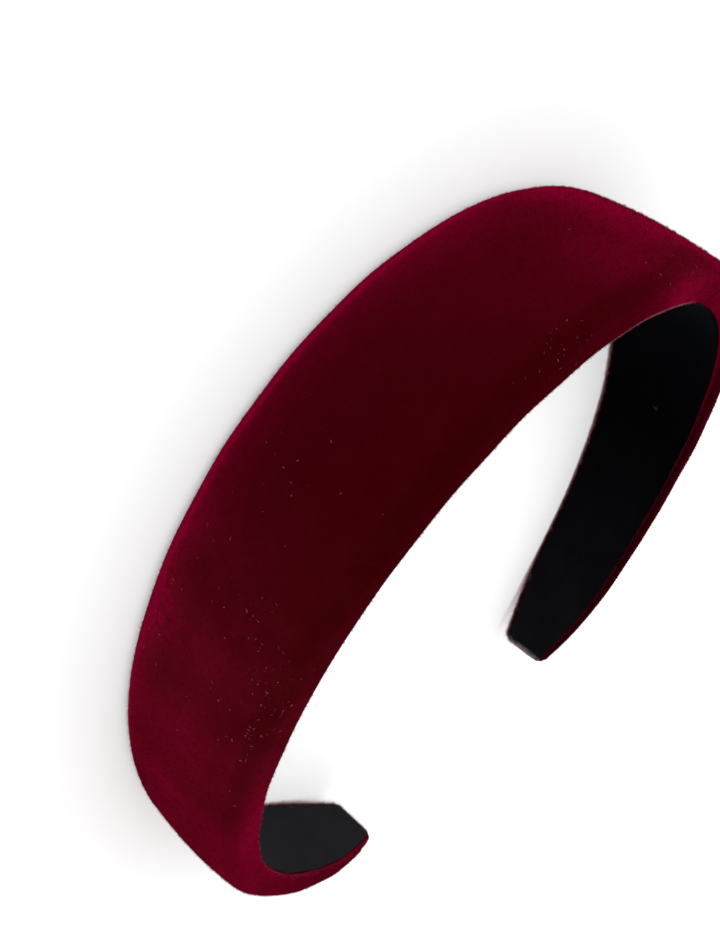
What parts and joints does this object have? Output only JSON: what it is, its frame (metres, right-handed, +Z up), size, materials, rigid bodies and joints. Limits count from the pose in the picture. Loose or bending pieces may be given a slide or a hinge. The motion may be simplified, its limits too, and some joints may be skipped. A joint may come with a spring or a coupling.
{
  "type": "velvet headband",
  "caption": "Wide padded velvet band bent into an open C that narrows to two blunt ends, with a flat dark ribbon lining on its inner side.",
  "frame": {"origin": "middle of the outline, on the surface that the band lies on", "axes": "+Z up from the surface, across the band's width; +Y from the open ends towards the crown; +X from one leg to the other"},
  "size_m": [0.1404, 0.1426, 0.0313],
  "materials": {
    "velvet": "deep burgundy velvet, dark where the pile faces the eye and pinkish red at grazing edges",
    "ribbon": "matt black woven ribbon with a faint cool sheen"
  },
  "bodies": {
    "root": {"velvet_cover": "velvet", "lining": "ribbon"}
  },
  "joints": []
}
